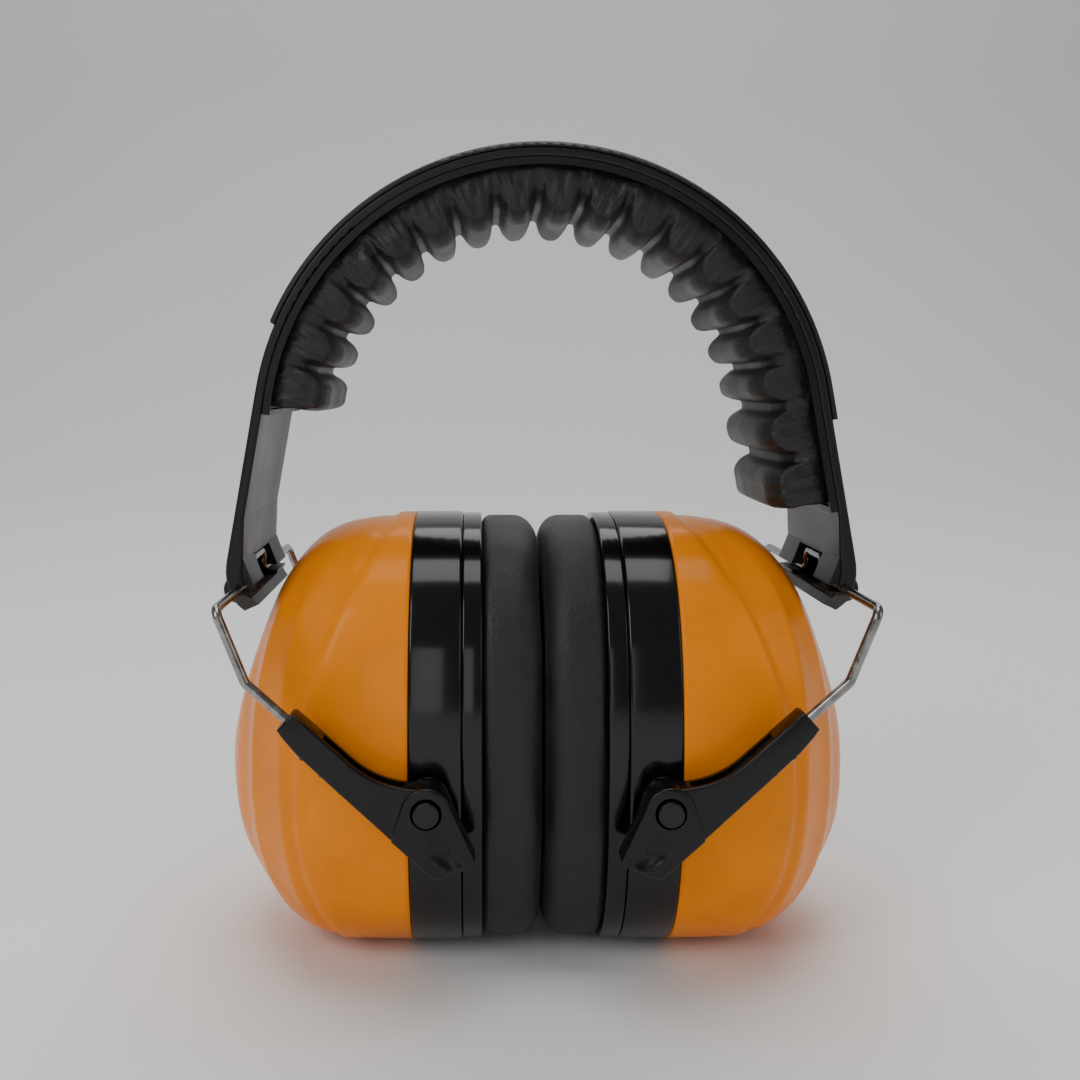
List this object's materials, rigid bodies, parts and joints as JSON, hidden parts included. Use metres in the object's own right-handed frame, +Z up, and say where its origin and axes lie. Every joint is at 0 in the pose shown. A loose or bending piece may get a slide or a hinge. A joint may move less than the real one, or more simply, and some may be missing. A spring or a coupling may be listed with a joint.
{
  "type": "earmuff hearing protector",
  "caption": "Over-ear hearing protector: two padded ear cups on wire yokes, with height sliders and tilt pivots, under a sprung headband with a ridged pad.",
  "frame": {"origin": "centre of the overall bounding box, at its underside, where the cups stand", "axes": "+X to the viewer's right across the head, +Y from the front to the back, +Z up to the headband's crown"},
  "size_m": [0.1404, 0.0952, 0.1783],
  "materials": {
    "band_plastic": "fine satin moulded black",
    "cover_plastic": "fine satin moulded black",
    "tray_plastic": "satin moulded black",
    "pad_leather": "soft glossy leatherette with fine wrinkles",
    "shell_orange": "polished moulded orange",
    "ring_black": "polished moulded black",
    "plate_black": "polished moulded black",
    "cushion_leather": "matt smooth leatherette",
    "foam_grey": "open-cell foam",
    "wire_steel": "bright drawn wire",
    "arm_plastic": "satin moulded black",
    "pin_plastic": "glossy black"
  },
  "bodies": {
    "headband": {"spring_band": "band_plastic", "band_cover": "cover_plastic", "pad_tray": "tray_plastic", "headband_pad": "pad_leather"},
    "yoke_right": {"yoke_wire_right": "wire_steel"},
    "arms_right": {"slider_arm_front_right": "arm_plastic", "slider_arm_rear_right": "arm_plastic", "pivot_pin_front_right": "pin_plastic", "pivot_pin_rear_right": "pin_plastic"},
    "cup_right": {"cup_shell_right": "shell_orange", "mid_ring_right": "ring_black", "cushion_plate_right": "plate_black", "ear_cushion_right": "cushion_leather", "cup_foam_right": "foam_grey"},
    "yoke_left": {"yoke_wire_left": "wire_steel"},
    "arms_left": {"slider_arm_front_left": "arm_plastic", "slider_arm_rear_left": "arm_plastic", "pivot_pin_front_left": "pin_plastic", "pivot_pin_rear_left": "pin_plastic"},
    "cup_left": {"cup_shell_left": "shell_orange", "mid_ring_left": "ring_black", "cushion_plate_left": "plate_black", "ear_cushion_left": "cushion_leather", "cup_foam_left": "foam_grey"}
  },
  "joints": [
    {"name": "yoke_swing_right", "type": "hinge", "parent": "headband", "child": "yoke_right", "pos_m": [0.06582, 0, 0.08169], "axis": [0, -1, 0], "range_deg": [0, 45]},
    {"name": "height_slide_right", "type": "slide", "parent": "yoke_right", "child": "arms_right", "axis": [-0.7431, 0, -0.6691], "range_m": [0, 0.006]},
    {"name": "cup_tilt_right", "type": "hinge", "parent": "arms_right", "child": "cup_right", "pos_m": [0.02415, 0, 0.04166], "axis": [0, -1, 0], "range_deg": [-2.5, 10], "deforming": ["ear_cushion_right"]},
    {"name": "yoke_swing_left", "type": "hinge", "parent": "headband", "child": "yoke_left", "pos_m": [-0.06582, 0, 0.08169], "axis": [0, 1, 0], "range_deg": [0, 45]},
    {"name": "height_slide_left", "type": "slide", "parent": "yoke_left", "child": "arms_left", "axis": [0.7431, 0, -0.6691], "range_m": [0, 0.006]},
    {"name": "cup_tilt_left", "type": "hinge", "parent": "arms_left", "child": "cup_left", "pos_m": [-0.02415, 0, 0.04166], "axis": [0, 1, 0], "range_deg": [-2.5, 10], "deforming": ["ear_cushion_left"]}
  ]
}
